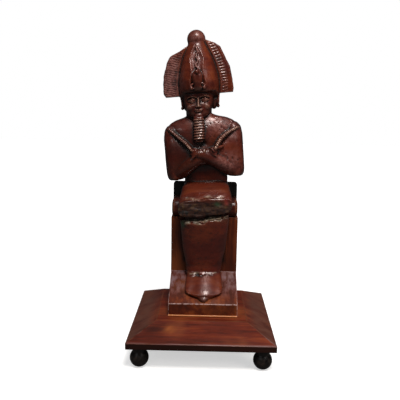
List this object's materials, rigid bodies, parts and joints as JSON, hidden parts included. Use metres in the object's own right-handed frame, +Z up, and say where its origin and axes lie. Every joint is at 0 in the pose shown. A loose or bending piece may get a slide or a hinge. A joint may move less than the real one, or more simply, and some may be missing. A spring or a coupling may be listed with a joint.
{
  "type": "seated pharaoh statue",
  "caption": "Small seated bronze king in a tall plumed crown with a plaited beard and crossed arms, fixed to a wooden throne, sloping footrest and bevelled plinth on ball feet.",
  "frame": {"origin": "on the ground under the middle of the plinth", "axes": "+Z up along the statue's height, -Y the way the figure faces, +X to the right of someone who looks at its face"},
  "size_m": [0.12, 0.12, 0.2728],
  "materials": {
    "red_brown_bronze": "cast bronze under a glossy dark red-brown patina, worn and pitted",
    "stained_mahogany": "dark red-brown stain under a thin gloss polish",
    "blackened_wood": "near-black stain, satin"
  },
  "bodies": {
    "root": {"figure": "red_brown_bronze", "throne_block": "stained_mahogany", "seat_board": "stained_mahogany", "back_board": "blackened_wood", "footrest": "stained_mahogany", "plinth": "stained_mahogany", "ball_foot_front_left": "blackened_wood", "ball_foot_front_right": "blackened_wood", "ball_foot_rear_left": "blackened_wood", "ball_foot_rear_right": "blackened_wood"}
  },
  "joints": []
}
